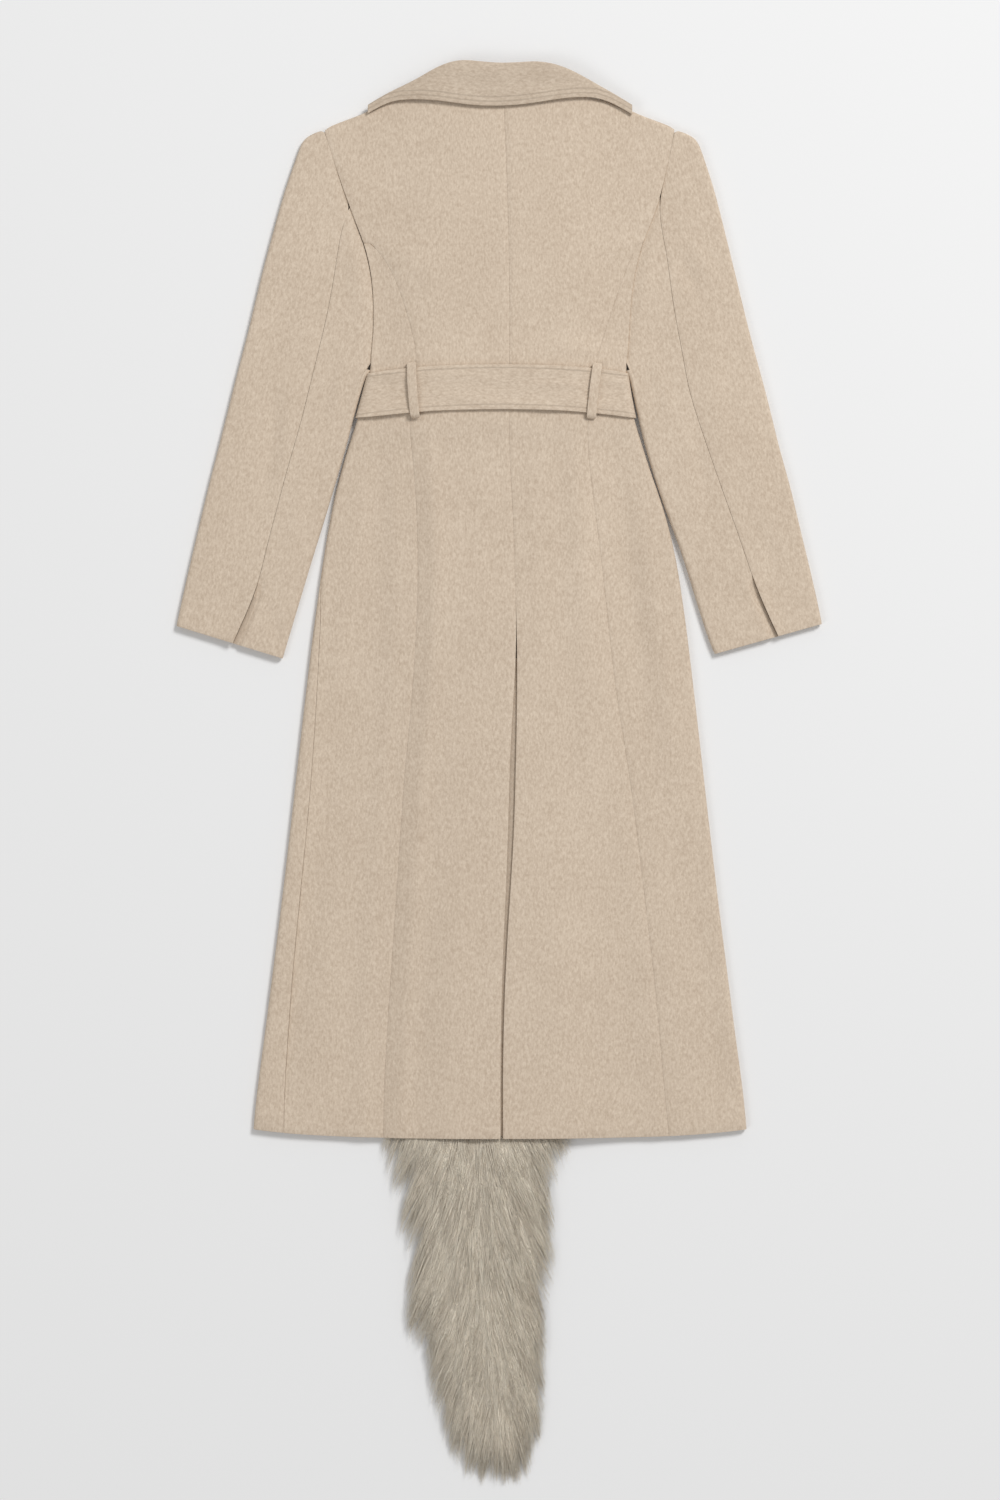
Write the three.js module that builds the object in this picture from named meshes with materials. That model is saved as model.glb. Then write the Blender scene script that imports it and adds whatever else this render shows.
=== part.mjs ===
// Belted wool coat, laid face down with its back up and its sleeves beside it, and a long fur
// stole lying under its fronts and reaching out past the hem. Millimetres, +Z up from the floor.
// Garment coordinates have X to the right, Y up from the hem line at the centre back.
import * as THREE from "three";

// Cloth and layers
const WALL = 2.6; // double-faced coating
const LAYER = 0.6; // air between two layers that lie on each other
const SEAM = 0.3; // air between two pieces along a seam
const HOLLOW = 3.8; // air inside a flattened tube of cloth
const TUBE = WALL + HOLLOW + WALL; // height of the flattened body or sleeve
const FOLD = TUBE / 2; // outer radius of a side fold
const QUARTER = (FOLD * Math.PI) / 2; // length of a quarter of that fold
const LIFT = WALL + LAYER; // how much one more layer raises what lies on it

// Heights of the coat above its hem line
const UNDERARM = 902;
const NECK_START = 1052; // above this the rows lean towards the shoulder line
const SHOULDER_END = 1174.5;
const CURL_ABOVE = 4; // the side folds flatten just above the underarm
const CURL_FADE = 12;
const NECK_TOP = 1212;

// Curve of the hem line towards the side folds
const HEM_CURVE = 10;
const HEM_HALF = 288;
const HEM_FADE = 90; // height over which the curve fades out

// Vent: its underlay reaches further under the left panel
const VENT_TOP = 592;
const UNDERLAY = { left: 34, right: 20, above: 20, hem: 3 };
const VENT_RISE = { middle: -6, half: 34, fade: 46, above: 95, height: 90 };

// Fur stole
const FUR_FLAT = 7; // pressed under the coat
const FUR_LOFT = 21; // loose below the hem
const FUR_HALF = 66; // half width over which the coat stays raised by it
const FUR_RUN_HALF = 60.7;
const FUR_FADE = 86; // width over which the coat comes down off it
const FUR_TOP = 1196; // upper end of the hidden run

// Belt and its two loops
const BELT_MIDDLE = 876;
const BELT_DROP = 10; // how much lower it runs at the sides
const BELT_HALF = 26;
const BELT_CLEAR = 4;
const BELT_FADE = 42;
const BELT_REACH = 158;
const BELT_SIDE = 155; // where its drop is taken for the side folds
const LOOP_WIDTH = 10.5;
const LOOP_HALF = 33;
const LOOP_WALL = 2;
const LOOP_RISE = 4.5; // length over which a loop climbs on to the belt

// Front edges: the right front laps over the left one
const LAP = 90;
const NECK_SIDE = 118;
const LAP_CLEAR = 41; // the raised front stays up this far past the other one's edge
const LAP_FADE = 33;

// Where the whole garment's box has its middle and its lower end
const ORIGIN = { x: 0, y: 427.1 };

// Outer boundary of the body panels: side folds up to the underarm, armholes above it
const OUTLINE = [
  { y: 0, left: 288.4, right: 288.4 },
  { y: 25, left: 287.3, right: 287.3 },
  { y: 90, left: 279, right: 279 },
  { y: 184, left: 267, right: 267 },
  { y: 277, left: 255, right: 255 },
  { y: 371, left: 244, right: 244 },
  { y: 464, left: 233.5, right: 233.5 },
  { y: 558, left: 222.5, right: 222.5 },
  { y: 652, left: 210, right: 210 },
  { y: 722, left: 198.5, right: 195.5 },
  { y: 760, left: 190.6, right: 181.6 },
  { y: 801, left: 178.6, right: 168.4 },
  { y: 839, left: 166.2, right: 156.4 },
  { y: 862, left: 159.8, right: 151.4 },
  { y: 890, left: 152.4, right: 147 },
  { y: 920, left: 149.7, right: 149.3 },
  { y: 955, left: 146.8, right: 151.2 },
  { y: 990, left: 148, right: 154 },
  { y: 1022, left: 152.7, right: 160 },
  { y: 1049, left: 160.9, right: 168.5 },
  { y: 1088, left: 176.1, right: 184.5 },
  { y: 1120, left: 187.8, right: 192.8 },
  { y: 1175, left: 206, right: 204.6 },
];

// Shaped seams of the back between its centre and side panels
const PRINCESS = [
  { y: 0, left: 136.5, right: 197.5 },
  { y: 75, left: 135, right: 190 },
  { y: 160, left: 129.3, right: 183.7 },
  { y: 250, left: 123.4, right: 172.5 },
  { y: 335, left: 117.6, right: 162.8 },
  { y: 425, left: 111.7, right: 151.4 },
  { y: 510, left: 103, right: 137 },
  { y: 610, left: 97, right: 125.5 },
  { y: 690, left: 95.8, right: 116.8 },
  { y: 775, left: 100, right: 105.5 },
  { y: 825, left: 105, right: 102.3 },
  { y: 875, left: 102, right: 107 },
  { y: 917, left: 98, right: 115.5 },
  { y: 945, left: 103.9, right: 124 },
  { y: 980, left: 114.1, right: 135.5 },
  { y: 1010, left: 125.5, right: 145.8 },
  { y: 1037, left: 144, right: 157.6 },
  { y: 1052, left: 163, right: 170.5 },
];
const SIDE_PANEL_TOP = 1044;

// Centre back seam, and below its end the two edges of the open vent
const CENTRE_BACK = [
  { y: 0, left: 0.6, right: 3.5 },
  { y: 102, left: 0.6, right: 3.5 },
  { y: 211, left: 2.9, right: 6.9 },
  { y: 253, left: 5.3, right: 9.5 },
  { y: 336, left: 8.8, right: 15.8 },
  { y: 401, left: 10.4, right: 17 },
  { y: 453, left: 11.8, right: 19.2 },
  { y: 511, left: 15.4, right: 19.9 },
  { y: 587, left: 19.7, right: 20 },
  { y: 628, left: 18.1, right: 18.1 },
  { y: 716, left: 15.8, right: 15.8 },
  { y: 804, left: 11.1, right: 11.1 },
  { y: 995, left: 11.1, right: 11.1 },
  { y: 1096, left: 8.8, right: 8.8 },
  { y: 1212, left: 4.5, right: 4.5 },
];

// Side seams, as a distance round the fold: the coat lies turned a little, so the left seam is
// on top below the hip and the right one is on the underside
const SIDE_SEAM = [
  { y: 0, turn: 38.6 },
  { y: 160, turn: 27.6 },
  { y: 248, turn: 24.2 },
  { y: 394, turn: 21.6 },
  { y: 482, turn: 18.2 },
  { y: 611, turn: 9 },
  { y: 640, turn: 3 },
  { y: 680, turn: 0 },
  { y: 720, turn: 0 },
  { y: 1180, turn: 0 },
];

// Shoulder line and the neck seam of the back
const SHOULDER = [
  { x: 0, y: 1213 },
  { x: 60, y: 1215 },
  { x: 110, y: 1216 },
  { x: 135, y: 1207.5 },
  { x: 164, y: 1195 },
  { x: 190, y: 1185.5 },
  { x: 201, y: 1180.5 },
  { x: 212, y: 1172 },
];

// Collar: edge of the fall and the roll line at the top
const COLLAR = [
  { x: -154, fall: 1195.5, roll: 1206 },
  { x: -134, fall: 1206.5, roll: 1218 },
  { x: -118, fall: 1210.5, roll: 1225.5 },
  { x: -94, fall: 1210.8, roll: 1237 },
  { x: -71, fall: 1209, roll: 1250 },
  { x: -47, fall: 1205.6, roll: 1257 },
  { x: -24, fall: 1203.2, roll: 1255.4 },
  { x: 0, fall: 1203, roll: 1253.5 },
  { x: 23, fall: 1204.3, roll: 1254.4 },
  { x: 46, fall: 1207.4, roll: 1255.4 },
  { x: 70, fall: 1211.2, roll: 1250.5 },
  { x: 93, fall: 1213.5, roll: 1240.5 },
  { x: 112, fall: 1213, roll: 1230 },
  { x: 128, fall: 1208.5, roll: 1221.5 },
  { x: 142, fall: 1201.5, roll: 1213.5 },
  { x: 154, fall: 1194.5, roll: 1206 },
];

// Sleeves, a row for each line across from the armhole or inner fold to the outer fold, and the
// share of that line where the back seam runs. The seventh row is at the underarm.
const SLEEVES = {
  left: [
    { inX: 205.3, inY: 1173.5, outX: 211.6, outY: 1176, seam: 0 },
    { inX: 187.8, inY: 1119.7, outX: 229.9, outY: 1165.3, seam: 0 },
    { inX: 176.1, inY: 1088.1, outX: 239.3, outY: 1140.8, seam: 0 },
    { inX: 160.9, inY: 1049.5, outX: 249.8, outY: 1112.7, seam: 0.26 },
    { inX: 150.3, inY: 1005, outX: 261.5, outY: 1070.6, seam: 0.36 },
    { inX: 146.8, inY: 952.4, outX: 276.7, outY: 1016.7, seam: 0.39 },
    { inX: 152.6, inY: 902, outX: 291.9, outY: 950, seam: 0.42 },
    { inX: 165.4, inY: 862.3, outX: 303.6, outY: 906.8, seam: 0.405 },
    { inX: 177, inY: 815.5, outX: 315.3, outY: 860, seam: 0.403 },
    { inX: 193.2, inY: 760.5, outX: 328.2, outY: 808.5, seam: 0.41 },
    { inX: 204.8, inY: 721.9, outX: 339.3, outY: 766.4, seam: 0.403 },
    { inX: 219.4, inY: 675.1, outX: 350.4, outY: 719.6, seam: 0.4 },
    { inX: 233.4, inY: 628.3, outX: 362.7, outY: 668.1, seam: 0.38 },
    { inX: 247.5, inY: 581.5, outX: 373.8, outY: 618.9, seam: 0.437 },
    { inX: 253.9, inY: 559.8, outX: 378, outY: 597.9, seam: 0.467 },
  ],
  right: [
    { inX: 204.2, inY: 1173.5, outX: 210.6, outY: 1176, seam: 0 },
    { inX: 196, inY: 1136.1, outX: 229.9, outY: 1165.3, seam: 0 },
    { inX: 188.2, inY: 1101, outX: 239.3, outY: 1140.8, seam: 0 },
    { inX: 175.6, inY: 1063.5, outX: 249.2, outY: 1112.7, seam: 0.16 },
    { inX: 159.3, inY: 1019.1, outX: 259.7, outY: 1070.6, seam: 0.35 },
    { inX: 151.8, inY: 965.3, outX: 273.2, outY: 1016.7, seam: 0.39 },
    { inX: 148.9, inY: 902, outX: 289, outY: 950, seam: 0.45 },
    { inX: 156.8, inY: 862.3, outX: 300.7, outY: 906.8, seam: 0.425 },
    { inX: 167.2, inY: 815.5, outX: 313.6, outY: 860, seam: 0.445 },
    { inX: 183.6, inY: 760.5, outX: 325.3, outY: 808.5, seam: 0.47 },
    { inX: 197.6, inY: 721.9, outX: 338.1, outY: 766.4, seam: 0.475 },
    { inX: 214.7, inY: 675.1, outX: 348.7, outY: 719.6, seam: 0.495 },
    { inX: 228.7, inY: 628.3, outX: 361.5, outY: 668.1, seam: 0.51 },
    { inX: 243.9, inY: 581.5, outX: 372.6, outY: 618.9, seam: 0.565 },
    { inX: 251, inY: 565.1, outX: 376.2, outY: 600.2, seam: 0.59 },
  ],
};
const CUFF_ROW = 14;
const RAISE_END = 190; // beside the belt the inner side of a sleeve rises with the body
const RAISE_FADE = 44;
const UNDERARM_ROW = 6;
const UNDERSLEEVE_START = 2.2;
const UNDERSLEEVE_ROWS = 12;

// Fur below the hem: its two edges and the height of its crown as a share of the loft
const FUR = [
  { y: -6, left: -135, right: 75, crown: 0.45 },
  { y: -32, left: -129, right: 63, crown: 0.95 },
  { y: -68, left: -117, right: 60, crown: 1 },
  { y: -103, left: -113, right: 60, crown: 1 },
  { y: -138, left: -102, right: 60, crown: 0.98 },
  { y: -173, left: -107, right: 57, crown: 0.96 },
  { y: -200, left: -116, right: 53, crown: 0.92 },
  { y: -226, left: -107, right: 51, crown: 0.88 },
  { y: -243, left: -95, right: 49, crown: 0.84 },
  { y: -296, left: -82, right: 46, crown: 0.75 },
  { y: -331, left: -73, right: 45, crown: 0.66 },
  { y: -349, left: -69, right: 39, crown: 0.6 },
  { y: -366, left: -60, right: 34, crown: 0.53 },
  { y: -386, left: -47, right: 22, crown: 0.42 },
  { y: -403.6, left: -9, right: 13, crown: 0.2 },
];

// Numbers and curves
const clamp = (t) => Math.min(1, Math.max(0, t));
const mix = (a, b, t) => a + (b - a) * t;
const ease = (t) => (1 - Math.cos(Math.PI * clamp(t))) / 2;

// Smooth curve through the rows of a table: the value of one column at a place in another
function along(table, key, column, at) {
  const last = table.length - 1;
  const rising = table[last][key] > table[0][key] ? 1 : -1;
  let i = 0;
  while (i < last - 1 && rising * (at - table[i + 1][key]) > 0) i += 1;
  const row = (k) => table[Math.min(last, Math.max(0, k))];
  const step = row(i + 1)[key] - row(i)[key];
  const t = clamp((at - row(i)[key]) / step);
  const slope = (k) => {
    const before = row(k - 1);
    const after = row(k + 1);
    return ((after[column] - before[column]) / (after[key] - before[key])) * step;
  };
  const [a, b] = [row(i)[column], row(i + 1)[column]];
  const [m, n] = [slope(i), slope(i + 1)];
  return (
    a * (1 + 2 * t) * (1 - t) ** 2 +
    m * t * (1 - t) ** 2 +
    b * t * t * (3 - 2 * t) +
    n * t * t * (t - 1)
  );
}

const name = (side) => (side < 0 ? "left" : "right");
const edge = (side, y) => along(OUTLINE, "y", name(side), y);
const princess = (side, y) => along(PRINCESS, "y", name(side), y);
const centreBack = (side, y) => along(CENTRE_BACK, "y", name(side), y);
const sideSeam = (y) => Math.max(0, along(SIDE_SEAM, "y", "turn", y));
const shoulder = (x) => along(SHOULDER, "x", "y", Math.abs(x));
const beltLine = (x) => BELT_MIDDLE - BELT_DROP * (x / BELT_REACH) ** 2;
const hem = (x) => HEM_CURVE * (x / HEM_HALF) ** 4;

// Free edge of a front, in its own side's direction: straight to the waist, then up to the neck
const frontEdge = (y) => mix(-LAP, NECK_SIDE, clamp((y - UNDERARM) / (NECK_TOP - UNDERARM)));

// Surfaces: how far the floor layers raise the coat, and the coat's own underside and top
const furLift = (x) => (FUR_FLAT + LAYER) * ease(1 - (Math.abs(x) - FUR_HALF) / FUR_FADE);
const beltLift = (x, y) =>
  LIFT * ease(1 - (Math.abs(y - beltLine(x)) - BELT_HALF - BELT_CLEAR) / BELT_FADE);
const ventLift = (x, y) => {
  const off = Math.abs(x - VENT_RISE.middle) - VENT_RISE.half;
  const up = ease((VENT_TOP + VENT_RISE.above - y) / VENT_RISE.height);
  return LIFT * ease(1 - off / VENT_RISE.fade) * up;
};
const under = (x, y) => furLift(x) + beltLift(x, y);
const top = (x, y) => under(x, y) + TUBE + ventLift(x, y);
const lapRise = (x, y) => LIFT * ease((x + LAP_CLEAR - frontEdge(y)) / LAP_FADE);

// A closed wall of cloth from a grid of points on its outer and inner face
function wall(meshName, look, columns, rows, point, ring = false) {
  const across = ring ? columns : columns + 1;
  const at = (i, j, face) => (face * (rows + 1) + j) * across + (i % across);
  const points = [];
  for (const face of [0, 1])
    for (let j = 0; j <= rows; j += 1)
      for (let i = 0; i < across; i += 1) points.push(point(i, j, face));
  const faces = [];
  const quad = (a, b, c, d) => faces.push([a, b, c], [a, c, d]);
  for (let j = 0; j < rows; j += 1)
    for (let i = 0; i < columns; i += 1) {
      quad(at(i, j, 0), at(i + 1, j, 0), at(i + 1, j + 1, 0), at(i, j + 1, 0));
      quad(at(i, j, 1), at(i, j + 1, 1), at(i + 1, j + 1, 1), at(i + 1, j, 1));
    }
  for (let i = 0; i < columns; i += 1) {
    quad(at(i, 0, 0), at(i, 0, 1), at(i + 1, 0, 1), at(i + 1, 0, 0));
    quad(at(i, rows, 0), at(i + 1, rows, 0), at(i + 1, rows, 1), at(i, rows, 1));
  }
  for (let j = 0; j < rows && !ring; j += 1) {
    quad(at(0, j, 0), at(0, j + 1, 0), at(0, j + 1, 1), at(0, j, 1));
    quad(at(columns, j, 0), at(columns, j, 1), at(columns, j + 1, 1), at(columns, j + 1, 0));
  }
  const [p, q, r] = [new THREE.Vector3(), new THREE.Vector3(), new THREE.Vector3()];
  const volume = faces.reduce((sum, [a, b, c]) => {
    p.fromArray(points[a]);
    q.fromArray(points[b]);
    r.fromArray(points[c]);
    return sum + p.dot(q.cross(r));
  }, 0);
  const outward = volume < 0 ? faces.map(([a, b, c]) => [a, c, b]) : faces;
  const geometry = new THREE.BufferGeometry();
  geometry.setAttribute("position", new THREE.Float32BufferAttribute(points.flat(), 3));
  geometry.setIndex(outward.flat());
  geometry.computeVertexNormals();
  const mesh = new THREE.Mesh(geometry, look);
  mesh.name = meshName;
  return mesh;
}

const wool = new THREE.MeshStandardMaterial({ color: 0xcfbda8, roughness: 0.95, metalness: 0 });
const fur = new THREE.MeshStandardMaterial({ color: 0xada293, roughness: 0.9, metalness: 0 });
const coat = new THREE.Group();

// Body panels. A place on the body is a height and a distance round the side fold, which is
// positive on top and negative on the underside. Facing the fold, 0 is its outermost line.
const flatOf = (turn) =>
  Math.abs(turn) < QUARTER ? (Math.abs(turn) * FOLD) / QUARTER : FOLD + Math.abs(turn) - QUARTER;
const turnOf = (distance) =>
  distance < FOLD ? (distance * QUARTER) / FOLD : QUARTER + distance - FOLD;

function onBody(side, y, turn, inner, depth, rise = 0) {
  const upper = turn > 0;
  const share = clamp((y - NECK_START) / (SHOULDER_END - NECK_START));
  const lean = (end) => (y > NECK_START ? mix(NECK_START, end, share) : y);
  const outerX = side * edge(side, lean(SHOULDER_END - FOLD));
  const innerEnd = shoulder(inner(NECK_TOP)) - FOLD;
  const innerX = inner(lean(innerEnd));
  const part = flatOf(turn) / Math.abs(side * edge(side, y) - inner(y));
  const x = y > NECK_START ? mix(outerX, innerX, part) : side * (edge(side, y) - flatOf(turn));
  const endX = mix(side * edge(side, SHOULDER_END), inner(innerEnd), part);
  let height = y > NECK_START ? mix(NECK_START, shoulder(endX) - FOLD, share) : y;
  height += hem(x) * clamp(1 - y / HEM_FADE);
  const lift = rise * lapRise(-side * x, height);
  const z = upper ? top(x, height) - depth : under(x, height) + depth + lift;
  const curl = ease((UNDERARM + CURL_ABOVE - y) / CURL_FADE);
  if (Math.abs(turn) >= QUARTER || curl === 0) return [x, height, z];
  const middle = (top(x, height) + under(x, height)) / 2;
  const angle = turn / FOLD;
  const radius = FOLD - depth;
  const roundX = side * (edge(side, y) - FOLD + radius * Math.cos(angle));
  const roundZ = middle + radius * Math.sin(angle);
  return [mix(x, roundX, curl), height, mix(z, roundZ, curl)];
}

const ROWS = [
  0, 45, 110, 190, 270, 350, 430, 500, 560, 610, 645, 690, 735, 775, 806, 822, 838, 876, 898,
  908, 922, 946, 985, 1015, 1036,
];
const UPPER_ROWS = [1052, 1080, 1110, 1145, SHOULDER_END];
const CURL_STEPS = 3;
const COLLAR_FOOT = 120; // the back stays flat under the collar up to here
const COLLAR_FADE = 14;

// The last rows of a panel, which roll over the shoulder line to the seam between the layers
function overShoulder([x, y, z], step, layer, depth, rolled) {
  const reach = (FOLD * step) / CURL_STEPS;
  const angle = (Math.PI / 2) * (step / CURL_STEPS);
  const radius = FOLD - depth;
  const middle = (top(x, y) + under(x, y)) / 2 + (layer * SEAM) / 2;
  const roundY = y + radius * Math.sin(angle);
  const roundZ = middle + layer * (radius - SEAM / 2) * Math.cos(angle);
  return [x, mix(y + reach, roundY, rolled), mix(z, roundZ, rolled)];
}

// One panel: from and to give the distances round the fold of its two long edges at a height
function panel(meshName, { side, rows, spread, inner, layer, rise = 0 }) {
  const steps = rows[rows.length - 1] === SHOULDER_END ? CURL_STEPS : 0;
  const columns = spread(0).length - 1;
  return wall(meshName, wool, columns, rows.length - 1 + steps, (i, j, face) => {
    const row = Math.min(j, rows.length - 1);
    const y = rows[row];
    const place = onBody(side, y, spread(y)[i], inner, face * WALL, rise);
    if (j === row && !(steps && row === rows.length - 1)) return place;
    const rolled = layer > 0 ? ease((Math.abs(place[0]) - COLLAR_FOOT) / COLLAR_FADE) : 1;
    return overShoulder(place, j - row, layer, face * WALL, rolled);
  });
}

const evenly = (from, to, steps) =>
  Array.from({ length: steps + 1 }, (_, k) => mix(from, to, k / steps));

// Distances of a panel's columns that end round the fold, closer together there
const LEAST_WRAP = 14;
const WRAP_SHARE = 0.6;
function wrapping(from, to, flatSteps, roundSteps = 4, lastSteps = 2) {
  const way = Math.sign(to - from);
  const wide = Math.abs(to - from);
  const length = Math.min(Math.max(way * to + QUARTER, LEAST_WRAP), WRAP_SHARE * wide);
  const round = Math.min(2 * QUARTER, WRAP_SHARE * length);
  const start = to - way * length;
  return [
    ...evenly(from, start, flatSteps),
    ...evenly(start, start + way * round, roundSteps).slice(1),
    ...evenly(start + way * round, to, lastSteps).slice(1),
  ];
}

// Column positions of a back panel on its own side, from its outer to its inner edge
const distance = (side, y, x) => turnOf(edge(side, y) - side * x);
for (const side of [-1, 1]) {
  const seamX = (y) => side * princess(side, y);
  const centreX = (y) => centreBack(side, y) + (side * SEAM) / 2;
  const outer = (y) => (y > SIDE_PANEL_TOP ? SEAM : distance(side, y, seamX(y)) + SEAM);
  coat.add(
    panel("back_centre_" + name(side), {
      side,
      rows: [...ROWS, SIDE_PANEL_TOP, SIDE_PANEL_TOP + SEAM, ...UPPER_ROWS],
      spread: (y) => evenly(outer(y), distance(side, y, centreX(y)), 5),
      inner: centreX,
      layer: 1,
    }),
    panel("back_side_" + name(side), {
      side,
      rows: [...ROWS, SIDE_PANEL_TOP],
      spread: (y) =>
        wrapping(distance(side, y, seamX(y)), -side * sideSeam(y) + 0.25, 4),
      inner: seamX,
      layer: 1,
    }),
  );
}

// Fronts: the right one lies outermost, so the left one is raised where they lap. Both have their
// columns at the same places there, so that they lie on each other.
const LAP_COLUMNS = [0, (LAP - FUR_HALF) / (2 * LAP), 0.5, (LAP + FUR_HALF) / (2 * LAP), 1];
for (const side of [-1, 1]) {
  const freeX = (y) => side * frontEdge(y);
  const farEnd = (y) => (side < 0 ? -frontEdge(y) - 2 : LAP);
  const lapEndX = (y) => side * Math.max(farEnd(y), frontEdge(y) + 30);
  coat.add(
    panel("front_" + name(side), {
      side,
      rows: [...ROWS, ...UPPER_ROWS],
      spread: (y) => {
        const free = -distance(side, y, freeX(y));
        const flat = -distance(side, y, lapEndX(y));
        const seam = -side * sideSeam(y) - 0.25;
        const next = Math.min(flat + 33, mix(flat, seam, 0.4));
        return [
          ...LAP_COLUMNS.map((part) => mix(free, flat, part)),
          ...evenly(flat, next, side < 0 ? 3 : 2).slice(1),
          ...wrapping(next, seam, 2).slice(1),
        ];
      },
      inner: freeX,
      layer: -1,
      rise: side < 0 ? 1 : 0,
    }),
  );
}

// Underlay of the vent, under the left and right centre back panels
const UNDERLAY_ROWS = ROWS.filter((y) => y <= VENT_TOP - UNDERLAY.above);
coat.add(
  wall("vent_underlay", wool, 4, UNDERLAY_ROWS.length - 1, (i, j, face) => {
    const y = UNDERLAY_ROWS[j] + (j === 0 ? UNDERLAY.hem : 0);
    const x = mix(centreBack(-1, y) - UNDERLAY.left, centreBack(1, y) + UNDERLAY.right, i / 4);
    return [x, y, top(x, y) - WALL - LAYER - face * WALL];
  }),
);

// Sleeves. A line across a sleeve is a place between two rows of its table.
function sleeve(side) {
  const table = SLEEVES[name(side)].map((row, line) => ({ ...row, line }));
  const value = (column, line) => along(table, "line", column, line);
  const innerX = (line) =>
    line < UNDERARM_ROW ? edge(side, value("inY", line)) + SEAM : value("inX", line);
  const inner = (line) => [side * innerX(line), value("inY", line)];
  const outer = (line) => [side * value("outX", line), value("outY", line)];
  const width = (line) => {
    const [a, b] = [inner(line), outer(line)];
    return Math.hypot(b[0] - a[0], b[1] - a[1]);
  };
  const across = (line, part) => {
    const [a, b] = [inner(line), outer(line)];
    return [mix(a[0], b[0], part), mix(a[1], b[1], part)];
  };
  const backSeam = (line) => Math.max(0, value("seam", line));
  const frontSeam = (line) => 0.5 * backSeam(line);
  const raise = (x, y) => beltLift(x, y) * ease((RAISE_END - Math.abs(x)) / RAISE_FADE);
  const flat = ([x, y], layer, face) => [
    x,
    y,
    raise(x, y) + (layer > 0 ? TUBE - face * WALL : face * WALL),
  ];
  // The rounded fold at either edge, where angle 90 is on top and -90 underneath
  const fold = (line, atOuter, angle, face) => {
    const radius = (FOLD - face * WALL) * Math.cos(angle);
    const inset = (FOLD - radius) / width(line);
    const [x, y] = across(line, atOuter ? 1 - inset : inset);
    return [x, y, raise(x, y) + FOLD + (FOLD - face * WALL) * Math.sin(angle)];
  };
  const HEAD_LINES = [0, 0.4, 0.8, 1.2, 1.7];
  const lines = [...HEAD_LINES, ...evenly(UNDERSLEEVE_START, CUFF_ROW, UNDERSLEEVE_ROWS)];
  const FLAT = 4;
  const ROUND = 6;
  const gap = (line) => SEAM / width(line);
  const topSleeve = wall("topsleeve_" + name(side), wool, 2 * FLAT + ROUND, lines.length - 1,
    (i, j, face) => {
      const line = lines[j];
      const last = 1 - FOLD / width(line);
      if (i < FLAT) {
        const from = Math.min(backSeam(line) + gap(line), last - 0.02);
        return flat(across(line, mix(from, last, i / FLAT)), 1, face);
      }
      if (i > FLAT + ROUND) {
        const from = Math.min(frontSeam(line) + gap(line), last - 0.02);
        return flat(across(line, mix(last, from, (i - FLAT - ROUND) / FLAT)), -1, face);
      }
      return fold(line, true, (Math.PI / 2) * (1 - (2 * (i - FLAT)) / ROUND), face);
    });
  // The undersleeve is bounded by the armhole, both seams and the cuff, and wraps the inner fold
  const WIDE = 7;
  const underSleeve = wall("undersleeve_" + name(side), wool, 2 * WIDE + ROUND, UNDERSLEEVE_ROWS,
    (i, j, face) => {
      const down = j / UNDERSLEEVE_ROWS;
      const foldLine = mix(UNDERARM_ROW + 0.15, CUFF_ROW, down);
      const seamLine = mix(UNDERSLEEVE_START, CUFF_ROW, down);
      const layer = i < WIDE ? 1 : -1;
      if (i >= WIDE && i <= WIDE + ROUND)
        return fold(foldLine, false, (Math.PI / 2) * (1 - (2 * (i - WIDE)) / ROUND), face);
      const part = layer > 0 ? 1 - i / WIDE : (i - WIDE - ROUND) / WIDE;
      const seam = layer > 0 ? backSeam : frontSeam;
      const onSeam = across(seamLine, Math.max(seam(seamLine) - gap(seamLine), gap(seamLine)));
      const onFold = across(foldLine, FOLD / width(foldLine));
      const start = mix(UNDERARM_ROW + 0.15, UNDERSLEEVE_START, part);
      const onArm = across(start, gap(start) * 3);
      const first = across(UNDERARM_ROW + 0.15, FOLD / width(UNDERARM_ROW));
      const corner = across(UNDERSLEEVE_START, gap(UNDERSLEEVE_START) * 3);
      const straight = [mix(onFold[0], onSeam[0], part), mix(onFold[1], onSeam[1], part)];
      const chord = [mix(first[0], corner[0], part), mix(first[1], corner[1], part)];
      const pull = (1 - down) ** 2;
      return flat(
        [
          straight[0] + (onArm[0] - chord[0]) * pull,
          straight[1] + (onArm[1] - chord[1]) * pull,
        ],
        layer,
        face,
      );
    });
  coat.add(topSleeve, underSleeve);
}
sleeve(-1);
sleeve(1);

// A place round the body's side fold, moved out from the cloth
function aroundBody(side, y, turn, out) {
  const foldX = side * edge(side, y);
  const middle = (top(foldX, y) + under(foldX, y)) / 2;
  const angle = turn / FOLD;
  const x = side * (edge(side, y) - FOLD + (FOLD + out + SEAM) * Math.cos(angle));
  return [x, y, middle + (FOLD + out) * Math.sin(angle)];
}

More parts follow.
